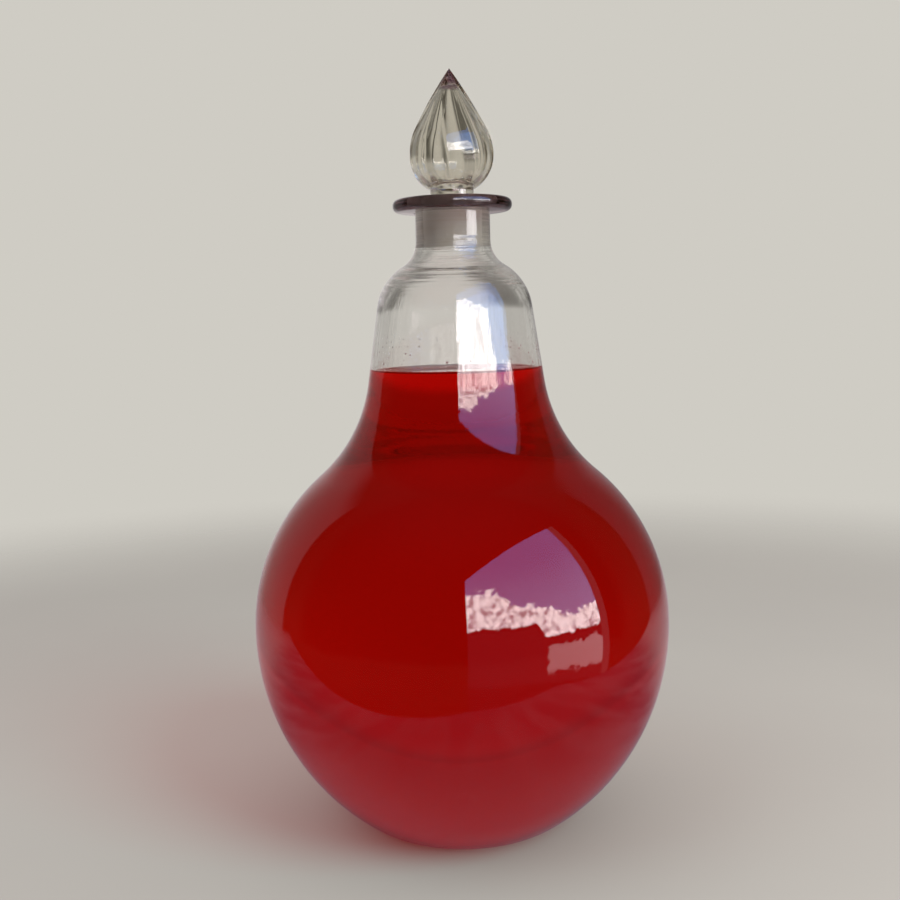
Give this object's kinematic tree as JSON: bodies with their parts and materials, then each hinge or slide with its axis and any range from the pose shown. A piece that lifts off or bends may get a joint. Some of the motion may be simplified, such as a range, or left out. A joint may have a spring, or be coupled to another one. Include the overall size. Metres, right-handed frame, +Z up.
{
  "type": "apothecary show globe",
  "caption": "Pear-shaped blown glass carboy of red show liquid, with a flat lip and a panel-cut teardrop glass stopper.",
  "frame": {"origin": "centre of the base, on the surface that the globe stands on", "axes": "+Z up along the axis of the bottle and the stopper; -Y is the side that the picture faces"},
  "size_m": [0.302, 0.3018, 0.5456],
  "materials": {
    "blown_glass": "fire-polished blown glass, faint amethyst tint",
    "lip_glass": "thick tooled glass, amethyst where it is deep",
    "cut_glass": "cut and polished panels, ground plug",
    "show_liquid": "clear red coloured water"
  },
  "bodies": {
    "globe": {"bottle": "blown_glass", "applied_lip": "lip_glass", "show_liquid": "show_liquid"},
    "stopper": {"stopper": "cut_glass"}
  },
  "joints": [
    {"name": "stopper_lift", "type": "slide", "parent": "globe", "child": "stopper", "axis": [0, 0, 1], "range_m": [0, 0.08]}
  ]
}
